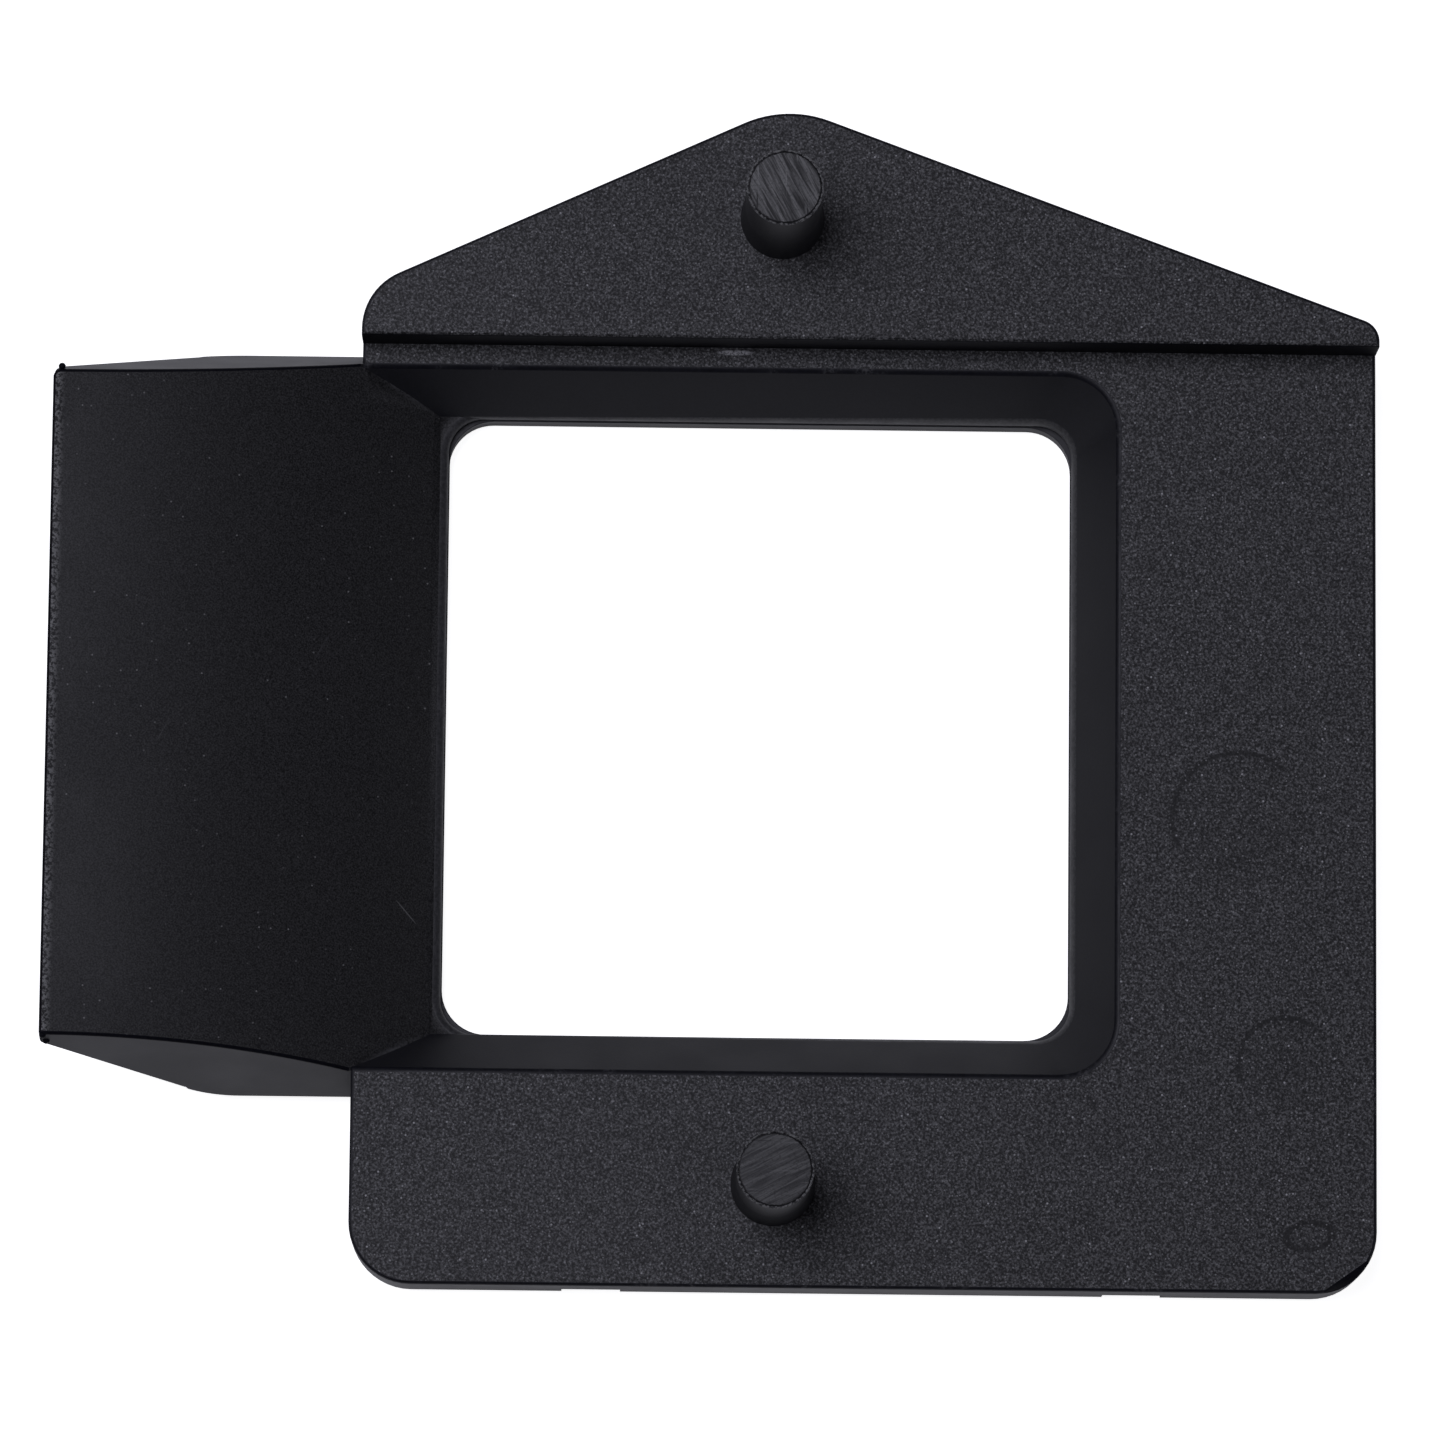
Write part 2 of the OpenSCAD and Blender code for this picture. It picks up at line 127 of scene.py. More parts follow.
class CarrierSizes(bpy.types.PropertyGroup):
    """Roundings and small sizes that the mouldings are finished with"""

    face_edge: FloatProperty(
        name="Face edge", description="Rounding of the gate plate's edges at its outer face",
        default=0.0003, min=0.00005, max=0.001, subtype="DISTANCE", unit="LENGTH")
    block_edge: FloatProperty(
        name="Block edge", description="Rounding of the handle block's upper edges",
        default=0.0003, min=0.00005, max=0.001, subtype="DISTANCE", unit="LENGTH")
    land_edge: FloatProperty(
        name="Land edge", description="Rounding between the sloped walls and the upright land",
        default=0.0007, min=0.00005, max=0.0009, subtype="DISTANCE", unit="LENGTH")
    ramp_edge: FloatProperty(
        name="Ramp edge", description="Rounding of the ramp's edges beyond the plate",
        default=0.00024, min=0.00005, max=0.0005, subtype="DISTANCE", unit="LENGTH")
    tip_corner: FloatProperty(
        name="Tip corner", description="Rounding of the ramp's corners at its tip",
        default=0.0006, min=0.0001, max=0.00065, subtype="DISTANCE", unit="LENGTH")
    flash: FloatProperty(
        name="Flash", description="Size of the nubs of flash at the ramp's tip",
        default=0.00033, min=0.0001, max=0.0006, subtype="DISTANCE", unit="LENGTH")
    corner_flat: FloatProperty(
        name="Corner flat", description="Width of the flat trimmed onto the far rear corner's rim",
        default=0.00078, min=0.00005, max=0.0012, subtype="DISTANCE", unit="LENGTH")
    film_edge: FloatProperty(
        name="Film edge", description="Rounding of the edges that face the film",
        default=0.00012, min=0.00003, max=0.0003, subtype="DISTANCE", unit="LENGTH")
    cover_edge: FloatProperty(
        name="Cover edge", description="Rounding of the cover's outer edges",
        default=0.0004, min=0.00005, max=0.001, subtype="DISTANCE", unit="LENGTH")
    mask_edge: FloatProperty(
        name="Mask edge", description="Rounding of the mask's deburred edges",
        default=0.00008, min=0.00002, max=0.0002, subtype="DISTANCE", unit="LENGTH")
    land_height: FloatProperty(
        name="Land height", description="Height of the upright land round the opening",
        default=0.0011, min=0.0005, max=0.002, subtype="DISTANCE", unit="LENGTH")
    dowel_width: FloatProperty(
        name="Dowel width", description="Diameter of a dowel's straight part",
        default=0.0067, min=0.005, max=0.009, subtype="DISTANCE", unit="LENGTH")
    root_height: FloatProperty(
        name="Root height", description="Height of a dowel's tapered root",
        default=0.0045, min=0.002, max=0.006, subtype="DISTANCE", unit="LENGTH")
    spigot_width: FloatProperty(
        name="Spigot width", description="Diameter of a dowel's spigot",
        default=0.005, min=0.004, max=0.006, subtype="DISTANCE", unit="LENGTH")
    tap_width: FloatProperty(
        name="Tapped hole", description="Diameter of the hole for a dowel's screw",
        default=0.003, min=0.002, max=0.004, subtype="DISTANCE", unit="LENGTH")
    burr: FloatProperty(
        name="Burr", description="How far the ground rim of a dowel stands proud of its side",
        default=0.00005, min=0.0, max=0.0002, subtype="DISTANCE", unit="LENGTH")
    dowel_steps: IntProperty(
        name="Dowel steps", description="Flats round a dowel", default=96, min=32, max=192)


class CarrierFinish(bpy.types.PropertyGroup):
    """Colours and textures of the materials"""

    plastic: FloatVectorProperty(
        name="Plastic", description="Colour of the black plastic", subtype="COLOR", size=3,
        default=(0.0034, 0.0035, 0.0056), min=0, max=1)
    # Painted shade: the darkest colour, put in the pits of the grain and in the deeper scratches and
    # grooves
    pit_shade: FloatVectorProperty(
        name="Pit", description="Colour at the bottom of the grain", subtype="COLOR", size=3,
        default=(0.001, 0.001, 0.0014), min=0, max=1)
    # Painted glints: the pale colour put on the tops of the grain
    grain_glint: FloatVectorProperty(
        name="Fleck", description="Colour at the top of the grain", subtype="COLOR", size=3,
        default=(0.185, 0.185, 0.19), min=0, max=1)
    # Painted glints on a few lone grains; the pale rub below the stop face, a real scuff, takes this
    # colour too
    glint_and_rub: FloatVectorProperty(
        name="Spark", description="Colour of the few lone pale specks", subtype="COLOR", size=3,
        default=(0.35, 0.35, 0.36), min=0, max=1)
    worn: FloatVectorProperty(
        name="Worn plastic", description="Colour where the plastic is rubbed or ground",
        subtype="COLOR", size=3, default=(0.055, 0.055, 0.058), min=0, max=1)
    scratch: FloatVectorProperty(
        name="Scratch", description="Colour of fresh scratches", subtype="COLOR", size=3,
        default=(0.16, 0.16, 0.16), min=0, max=1)
    steel: FloatVectorProperty(
        name="Steel", description="Colour of the screws and pins", subtype="COLOR", size=3,
        default=(0.52, 0.52, 0.54), min=0, max=1)
    blacking: FloatVectorProperty(
        name="Blacking", description="Colour of the mask's black finish", subtype="COLOR", size=3,
        default=(0.022, 0.022, 0.024), min=0, max=1)
    grain: FloatProperty(
        name="Grain", description="Size of one grain of the moulded texture",
        default=0.000214, min=0.00005, max=0.001, subtype="DISTANCE", unit="LENGTH")
    grain_depth: FloatProperty(
        name="Grain depth", description="Depth of the moulded texture",
        default=0.00003, min=0.0, max=0.0002, subtype="DISTANCE", unit="LENGTH")


class CarrierStage(bpy.types.PropertyGroup):
    """Floor, light and camera"""

    floor: FloatVectorProperty(
        name="Floor", description="Colour of the floor", subtype="COLOR", size=3,
        default=(0.92, 0.92, 0.92), min=0, max=1)
    light_colour: FloatVectorProperty(
        name="Light colour", description="Colour of the lights, a cool white", subtype="COLOR", size=3,
        default=(0.97, 0.97, 1.12), min=0, max=2)
    floor_glow: FloatProperty(
        name="Floor glow", description="How bright the floor itself looks", default=0.9, min=0, max=2)
    floor_light: FloatProperty(
        name="Floor light", description="Light that the floor throws onto the carrier", default=0.2,
        min=0, max=2)
    surround: FloatProperty(
        name="Surround", description="Brightness of the light from all round", default=0.05, min=0, max=2)
    key_power: FloatProperty(
        name="Key light", description="Power of the large soft light", default=5.0, min=0, max=200,
        unit="POWER")
    fill_power: FloatProperty(
        name="Fill light", description="Power of the light from the other side", default=0.5, min=0,
        max=200, unit="POWER")
    camera_place: FloatVectorProperty(
        name="Camera", description="Place of the camera", size=3, subtype="TRANSLATION", unit="LENGTH",
        default=(-0.010739, -0.111988, 0.740113))
    camera_turn: FloatVectorProperty(
        name="Camera angles", description="Turn of the camera about X, Y and Z, in degrees", size=3,
        default=(8.677597, -0.678579, 0.582112))
    lens: FloatProperty(
        name="Lens", description="Focal length on a 36 mm sensor, in millimetres", default=206.78,
        min=20, max=500)


def sizes():
    return bpy.context.scene.carrier_sizes


def finish():
    return bpy.context.scene.carrier_finish


def stage():
    return bpy.context.scene.carrier_stage


# ---- Materials ----

def shade(colour, factor):
    """The colour, made that many times as bright"""
    return [factor * c for c in colour]


class Recipe:
    """A material under construction: a Principled shader that reads Object coordinates"""

    def __init__(self, name, colour, roughness, specular=0.5, metallic=0.0):
        self.material = bpy.data.materials.new(name)
        self.material.use_nodes = True
        self.tree = self.material.node_tree
        self.tree.nodes.clear()
        self.out = self.add("ShaderNodeOutputMaterial")
        self.shader = self.add("ShaderNodeBsdfPrincipled")
        self.join(self.shader.outputs["BSDF"], self.out.inputs["Surface"])
        self.shader.inputs["Base Color"].default_value = (*colour, 1)
        self.shader.inputs["Roughness"].default_value = roughness
        self.shader.inputs["Specular IOR Level"].default_value = specular
        self.shader.inputs["Metallic"].default_value = metallic
        self.place = self.add("ShaderNodeTexCoord").outputs["Object"]

    def add(self, kind, **settings):
        node = self.tree.nodes.new(kind)
        for key, value in settings.items():
            setattr(node, key, value)
        return node

    def join(self, output, target):
        self.tree.links.new(output, target)

    def put(self, value, target):
        """A number, a colour or another node's output into an input"""
        if isinstance(value, bpy.types.NodeSocket):
            self.join(value, target)
        elif hasattr(value, "__len__"):
            target.default_value = (*value, 1)
        else:
            target.default_value = value

    def mapped(self, centre=(0, 0, 0), turn=0.0, stretch=(1, 1, 1)):
        """Object coordinates about centre, turned about Z, then stretched"""
        shift = self.add("ShaderNodeVectorMath", operation="SUBTRACT")
        self.join(self.place, shift.inputs[0])
        shift.inputs[1].default_value = centre
        spin = self.add("ShaderNodeMapping", vector_type="POINT")
        self.join(shift.outputs[0], spin.inputs["Vector"])
        spin.inputs["Rotation"].default_value = (0, 0, -turn)
        scale = self.add("ShaderNodeMapping", vector_type="POINT")
        self.join(spin.outputs[0], scale.inputs["Vector"])
        scale.inputs["Scale"].default_value = stretch
        return scale.outputs[0]

    def tilted(self):
        """Object coordinates turned askew, so that no grain lines up with a flat face"""
        node = self.add("ShaderNodeMapping", vector_type="POINT")
        self.join(self.place, node.inputs["Vector"])
        node.inputs["Rotation"].default_value = GRAIN_TILT
        return node.outputs[0]

    def noise(self, size, detail=2.0, roughness=0.5, place=None):
        """Soft noise with features of that size, from 0 to 1"""
        node = self.add("ShaderNodeTexNoise")
        self.join(place or self.place, node.inputs["Vector"])
        node.inputs["Scale"].default_value = 1 / size
        node.inputs["Detail"].default_value = detail
        node.inputs["Roughness"].default_value = roughness
        return node.outputs["Fac"]

    def cells(self, size, flat):
        """Cells round points scattered that far apart, over the XY plane if flat"""
        node = self.add("ShaderNodeTexVoronoi", voronoi_dimensions="2D" if flat else "3D")
        self.join(self.place, node.inputs["Vector"])
        node.inputs["Scale"].default_value = 1 / size
        return node

    def specks(self, spacing, rare, full, width, flat=False):
        """Round dots that far apart: a cell is lit above rare, and width is a dot's size in its cell"""
        node = self.cells(spacing, flat)
        lit = self.ramp(node.outputs["Color"], rare, full, smooth=False)
        dot = self.ramp(node.outputs["Distance"], 0.5 * width, width, 1.0, 0.0)
        return self.maths("MULTIPLY", lit, dot)

    def ramp(self, value, low, high, to_low=0.0, to_high=1.0, smooth=True):
        """value from low..high to to_low..to_high, held at both ends"""
        node = self.add("ShaderNodeMapRange", interpolation_type="SMOOTHSTEP" if smooth else "LINEAR")
        self.join(value, node.inputs["Value"])
        numbers = {"From Min": low, "From Max": high, "To Min": to_low, "To Max": to_high}
        for key, number in numbers.items():
            node.inputs[key].default_value = number
        return node.outputs["Result"]

    def maths(self, operation, a, b):
        node = self.add("ShaderNodeMath", operation=operation)
        self.put(a, node.inputs[0])
        self.put(b, node.inputs[1])
        return node.outputs[0]

    def apart(self, a, b):
        """How far a and b are apart"""
        return self.maths("ABSOLUTE", self.maths("SUBTRACT", a, b), 0.0)

    def blend(self, share, a, b):
        """Colour a where share is 0, b where it is 1"""
        node = self.add("ShaderNodeMix", data_type="RGBA")
        self.put(share, node.inputs["Factor"])
        self.put(a, node.inputs["A"])
        self.put(b, node.inputs["B"])
        return node.outputs["Result"]

    def far_from(self, centre, stretch=(1, 1, 0), turn=0.0):
        """Distance from centre, seen along Z"""
        node = self.add("ShaderNodeVectorMath", operation="LENGTH")
        self.join(self.mapped(centre, turn, stretch), node.inputs[0])
        return node.outputs["Value"]

    def oval(self, centre, size, turn=0.0):
        """0 at the centre of an oval and 1 on its outline; size is half its length and half its width"""
        return self.far_from(centre, (1 / size[0], 1 / size[1], 0), turn)

    def relief(self, height, depth, strength):
        """A bump of that depth on the surface"""
        node = self.add("ShaderNodeBump")
        node.inputs["Strength"].default_value = strength
        node.inputs["Distance"].default_value = depth
        self.join(height, node.inputs["Height"])
        return node.outputs["Normal"]

    def colour(self, value):
        self.put(value, self.shader.inputs["Base Color"])

    def roughness(self, value):
        self.put(value, self.shader.inputs["Roughness"])

    def normal(self, value):
        self.join(value, self.shader.inputs["Normal"])


def grained_plastic(name, marks=(), scuff=None):
    """Spark-eroded black plastic whose grain is shaded in colour: painted shade in the pits, painted
    glints on the paler tops and on a few lone pale specks. Marks are oval spots, each with x, y, half
    length, half width and turn, where the grain is a little flat, with fewer painted glints and an outline
    of painted shade; scuff is the place of a pale rub."""
    f = finish()
    r = Recipe(name, f.plastic, 0.55, 0.3)
    grain = r.noise(f.grain, 2.0, 0.7, r.tilted())
    patches = r.noise(0.0017)
    clouds = r.noise(0.021)
    # The grain's tone runs from painted shade in the pits to painted glints on the tops
    tone = r.maths("POWER", r.ramp(grain, 0.38, 0.76, smooth=False), 1.6)
    # Painted glints: a few lone pale specks, where the patches allow
    lone_glints = r.specks(0.0011, 0.55, 0.8, 0.1, flat=True)
    # Painted glints on the tops of many grains
    top_glints = r.specks(0.00045, 0.5, 0.8, 0.2, flat=True)
    for mark in marks:
        tone = r.maths("MULTIPLY", tone, oval_mark(r, *mark))
    base = r.blend(tone, f.pit_shade, f.grain_glint)
    base = r.blend(top_glints, base, f.grain_glint)
    base = r.blend(r.maths("MULTIPLY", lone_glints, r.ramp(patches, 0.45, 0.6)), base, f.glint_and_rub)
    if scuff is not None:
        rub = r.ramp(r.oval(scuff, STEP_RUB_SIZE), 0.5, 1.0, 1.0, 0.0)
        rub = r.maths("MULTIPLY", rub, r.ramp(r.noise(0.00025, 3.0, 0.7), 0.4, 0.56))
        base = r.blend(rub, base, f.glint_and_rub)
    r.colour(base)
    r.roughness(r.ramp(clouds, 0.3, 0.7, 0.54, 0.58))
    r.normal(r.relief(grain, f.grain_depth, 0.6))
    return r.material


def oval_mark(r, x, y, length, width, turn):
    """How much of the grain's painted glints a mark keeps: a little less inside, and much less on its
    outline, which is painted shade. A large mark's painted shade fades out towards its upper left, the key
    light's side."""
    away = r.oval((x, y, 0), (length, width), turn)
    inside = r.ramp(away, 0.95, 1.0, 0.84, 1.0)
    line = OUTLINE / width
    # Painted shade along the outline; a large mark leaves it out towards the upper left, where the key
    # light is
    rim = r.ramp(r.apart(away, 1.0), 0.4 * line, line, 0.25, 1.0)
    if width > SMALL_MARK:
        upper = r.oval((x - 0.55 * length, y + 0.75 * width, 0), (length, width))
        rim = r.maths("MAXIMUM", rim, r.ramp(upper, 0.9, 1.5, 0.0, 1.0))
    return r.maths("MULTIPLY", inside, rim)


def smooth_plastic(name="smooth plastic", specular=0.5):
    """Plastic off a polished part of the mould: faint draw lines and a little dust"""
    f = finish()
    r = Recipe(name, f.plastic, 0.5, specular)
    fine = r.noise(0.00022, 2.0, 0.6, r.tilted())
    clouds = r.noise(0.006, 3.0)
    dust = r.maths("MULTIPLY", r.specks(0.0016, 0.85, 0.95, 0.07), r.ramp(clouds, 0.45, 0.55))
    base = r.blend(r.ramp(fine, 0.3, 0.75), shade(f.plastic, 0.8), shade(f.plastic, 1.5))
    r.colour(r.blend(dust, base, f.worn))
    r.roughness(r.ramp(clouds, 0.3, 0.7, 0.5, 0.56))
    r.normal(r.relief(fine, f.grain_depth, 0.25))
    return r.material


def ramp_plastic(name="ramp plastic"):
    """The ramp's surface: a finer grain shaded in colour with painted shade and painted glints, a few
    scratches and dust, and a rougher band along the tip
    """
    f = finish()
    r = Recipe(name, f.plastic, 0.5, 0.28)
    fine = r.noise(0.000143, 2.0, 0.6, r.tilted())
    coarse = r.noise(0.00028, 2.0, 0.7, r.tilted())
    clouds = r.noise(0.0103, 3.0)
    # The ramp's finer grain: painted shade in the pits and faint painted glints on the tops
    base = r.blend(r.ramp(fine, 0.36, 0.72, smooth=False), f.pit_shade, shade(f.grain_glint, 0.2))
    lines = r.noise(0.00035, 1.0, 0.5, r.mapped(turn=DRAW_TURN, stretch=(0.02, 1, 0.02)))
    lines = r.maths("MULTIPLY", r.ramp(lines, 0.72, 0.8), r.ramp(clouds, 0.56, 0.66))
    base = r.blend(lines, base, f.worn)
    scratch = r.oval(SCRATCH, SCRATCH_SIZE, SCRATCH_TURN)
    base = r.blend(r.ramp(scratch, 0.6, 1.0, 0.5, 0.0), base, f.scratch)
    for side in (-1, 1):
        mitre = r.oval((MITRE_X, side * MITRE_Y, 0), MITRE_SIZE, -side * MITRE_TURN)
        pale = r.maths("MULTIPLY", r.ramp(mitre, 0.2, 1.0, 0.9, 0.0), r.ramp(coarse, 0.3, 0.6))
        base = r.blend(pale, base, f.worn)
    dust = r.maths("MULTIPLY", r.specks(0.0014, 0.6, 0.8, 0.07, flat=True), r.ramp(clouds, 0.42, 0.55))
    base = r.blend(dust, base, f.scratch)
    along = r.add("ShaderNodeSeparateXYZ")
    r.join(r.place, along.inputs[0])
    tip = r.maths("ADD", along.outputs["X"], r.ramp(coarse, 0.2, 0.8, -0.0003, 0.0003))
    tip = r.ramp(tip, TIP_X + TIP_BAND[0], TIP_X + TIP_BAND[1], 1.0, 0.0)
    # The rougher band along the tip: pale worn grains with painted shade between them
    base = r.blend(tip, base, r.blend(r.ramp(coarse, 0.42, 0.62), f.pit_shade, f.scratch))
    r.colour(base)
    r.roughness(r.ramp(clouds, 0.3, 0.7, 0.52, 0.6))
    r.normal(r.relief(fine, f.grain_depth, 0.35))
    return r.material


def worn_edge(name="worn edge", ground=None):
    """Rounded edges: the grain is rubbed smooth, and paler in places; ground is the colour between them"""
    f = finish()
    ground = ground or f.plastic
    r = Recipe(name, ground, 0.5, 0.22)
    fine = r.noise(0.0003, 2.0, 0.6, r.tilted())
    rubs = r.noise(0.0035, 3.0, 0.6)
    base = r.blend(r.ramp(fine, 0.35, 0.7), ground, shade(ground, 1.8))
    base = r.blend(r.maths("MULTIPLY", r.ramp(rubs, 0.55, 0.72), r.ramp(fine, 0.4, 0.7)), base, f.worn)
    r.colour(base)
    r.roughness(r.ramp(rubs, 0.3, 0.7, 0.4, 0.55))
    r.normal(r.relief(fine, f.grain_depth, 0.3))
    return r.material


def ground_plastic(name, centre, turn, radius, cut):
    """The tip of a dowel, ground flat: scratches that run the way it was drawn over the paper, as deep as
    cut, with painted shade in the deeper scratches, the pits and the groove, and a pale rim round them"""
    f = finish()
    r = Recipe(name, f.worn, 0.55, 0.3)
    broad = r.noise(0.0007, 2.0, 0.6, r.mapped(centre, turn, (0.06, 1, 1)))
    fine = r.noise(0.00024, 2.0, 0.7, r.mapped(centre, turn + 0.12, (0.05, 1, 1)))
    across = r.noise(0.0003, 1.0, 0.6, r.mapped(centre, turn - 0.35, (0.04, 1, 1)))
    grains = r.noise(f.grain, 1.0, 0.6)
    lines = r.maths("ADD", fine, r.ramp(broad, 0.25, 0.75, -0.14, 0.14))
    base = r.blend(r.ramp(lines, 0.3, 0.72), shade(f.worn, 0.6 - 0.42 * cut), shade(f.scratch, cut))
    base = r.blend(r.ramp(across, 0.64, 0.74), base, shade(f.scratch, 1.2 * cut))
    # Painted shade in the deeper cross scratches, and in the pits of the grain on the next line
    base = r.blend(r.maths("MULTIPLY", r.ramp(across, 0.32, 0.26), cut), base, f.pit_shade)
    base = r.blend(r.ramp(grains, 0.5, 0.3, 0.0, 0.4), base, f.pit_shade)
    away = r.maths("ADD", r.far_from(centre), r.ramp(grains, 0.2, 0.8, -0.00006, 0.00006))
    # Painted shade in the groove inside the ground rim
    groove = r.ramp(r.apart(away, radius - 0.0002), 0.00005, 0.00011, 1.0, 0.0)
    base = r.blend(groove, base, f.pit_shade)
    rim = r.ramp(away, radius - 0.00013, radius - 0.00008)
    base = r.blend(rim, base, r.blend(r.ramp(grains, 0.35, 0.65), shade(f.worn, 0.5), f.scratch))
    r.colour(base)
    r.roughness(r.ramp(broad, 0.3, 0.7, 0.5, 0.65))
    r.normal(r.relief(lines, 0.00004, 0.7))
    return r.material


def turned_steel(name="turned steel"):
    """Plain screws and pins: fine tool marks and a few darker patches"""
    f = finish()
    r = Recipe(name, f.steel, 0.35, metallic=1.0)
    marks = r.noise(0.00012, 2.0, 0.6, r.mapped(stretch=(0.3, 1, 1)))
    patches = r.noise(0.0015, 3.0)
    r.colour(r.blend(r.ramp(patches, 0.35, 0.75), f.steel, shade(f.steel, 0.55)))
    r.roughness(r.ramp(marks, 0.3, 0.7, 0.26, 0.48))
    r.normal(r.relief(marks, 0.00001, 0.4))
    return r.material


def blacked_metal(name="blackened metal"):
    """Thin sheet metal, blackened: rolling marks with the metal showing through in pinpricks"""
    f = finish()
    r = Recipe(name, f.blacking, 0.55, metallic=0.35)
    rolled = r.noise(0.0003, 3.0, 0.6, r.mapped(stretch=(0.05, 1, 1)))
    pricks = r.specks(0.0015, 0.8, 0.95, 0.06)
    base = r.blend(r.ramp(rolled, 0.3, 0.7), shade(f.blacking, 0.7), shade(f.blacking, 1.5))
    r.colour(r.blend(r.maths("MULTIPLY", pricks, 0.5), base, f.steel))
    r.roughness(r.ramp(rolled, 0.3, 0.7, 0.45, 0.62))
    r.normal(r.relief(rolled, 0.00001, 0.4))
    return r.material


# ---- Shapes ----

def merged_copy(node):
    """A copy of a CAD node's mesh with its loose triangles merged and its flat faces made whole"""
    bm = bmesh.new()
    bm.from_mesh(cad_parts[node].data)
    bmesh.ops.remove_doubles(bm, verts=bm.verts, dist=2e-6)
    bmesh.ops.dissolve_limit(bm, angle_limit=math.radians(0.3), verts=bm.verts, edges=bm.edges,
                             use_dissolve_boundaries=False)
    for face in bm.faces:
        face.material_index = 0
    return bm


def on_face(face):
    """True for a face that lies flat at the level of the outer face"""
    return face.normal.z > FLAT and abs(face.calc_center_median().z - FACE_Z) < TOLERANCE


def on_level(edge, z):
    return all(abs(v.co.z - z) < TOLERANCE for v in edge.verts)


def middle(edge):
    return (edge.verts[0].co + edge.verts[1].co) / 2


def sharp_edges(bm, wanted):
    """The outward edges that are sharp enough to be rounded and for which wanted(edge) is true"""
    outward = [e for e in bm.edges if len(e.link_faces) == 2 and e.is_convex]
    return [e for e in outward if e.calc_face_angle() > EDGE_ANGLE and wanted(e)]


def large_loops(edges):
    """Those of the edges that hang together in large runs, which leaves out the screw holes"""
    left, kept = dict.fromkeys(edges), []
    while left:
        run, queue = [], [left.popitem()[0]]
        while queue:
            edge = queue.pop()
            run.append(edge)
            for vert in edge.verts:
                for near in vert.link_edges:
                    if near in left:
                        del left[near]
                        queue.append(near)
        points = [v.co for e in run for v in e.verts]
        span = max(max(p[k] for p in points) - min(p[k] for p in points) for k in range(3))
        if span > LARGE:
            kept += run
    return kept


def round_edges(bm, edges, width, segments=3, slot=None):
    """Rounds the edges and gives the new faces that material slot"""
    made = bmesh.ops.bevel(bm, geom=edges, offset=width, offset_type="OFFSET", segments=segments,
                           profile=0.5, affect="EDGES", material=-1, loop_slide=False,
                           clamp_overlap=False)
    if slot is not None:
        for face in made["faces"]:
            face.material_index = slot


def lathe(profile, spot, steps):
    """A turned shape: the profile's (radius, height) points, from axis to axis, spun about Z at spot"""
    bm = bmesh.new()
    verts = [bm.verts.new((spot[0] + radius, spot[1], z)) for radius, z in profile]
    edges = [bm.edges.new(pair) for pair in zip(verts, verts[1:])]
    bmesh.ops.spin(bm, geom=verts + edges, cent=(spot[0], spot[1], 0), axis=(0, 0, 1), dvec=(0, 0, 0),
                   angle=math.tau, steps=steps, use_merge=True, use_duplicate=False)
    bmesh.ops.remove_doubles(bm, verts=bm.verts, dist=1e-6)
    bmesh.ops.recalc_face_normals(bm, faces=bm.faces)
    return bm


def finished(bm, name, node, body, materials):
    """Makes the piece's object, shades it, and lets it ride on its body in place of the CAD node"""
    mesh = bpy.data.meshes.new(name)
    bm.to_mesh(mesh)
    bm.free()
    for material in materials:
        mesh.materials.append(material)
    mesh.shade_smooth()
    mesh.set_sharp_from_angle(angle=SHARP_ANGLE)
    piece = bpy.data.objects.new(name, mesh)
    bpy.context.scene.collection.objects.link(piece)
    weighted = piece.modifiers.new("weighted normals", "WEIGHTED_NORMAL")
    weighted.keep_sharp = True
    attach(piece, body)
    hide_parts(node)
    return piece


# ---- Operators ----

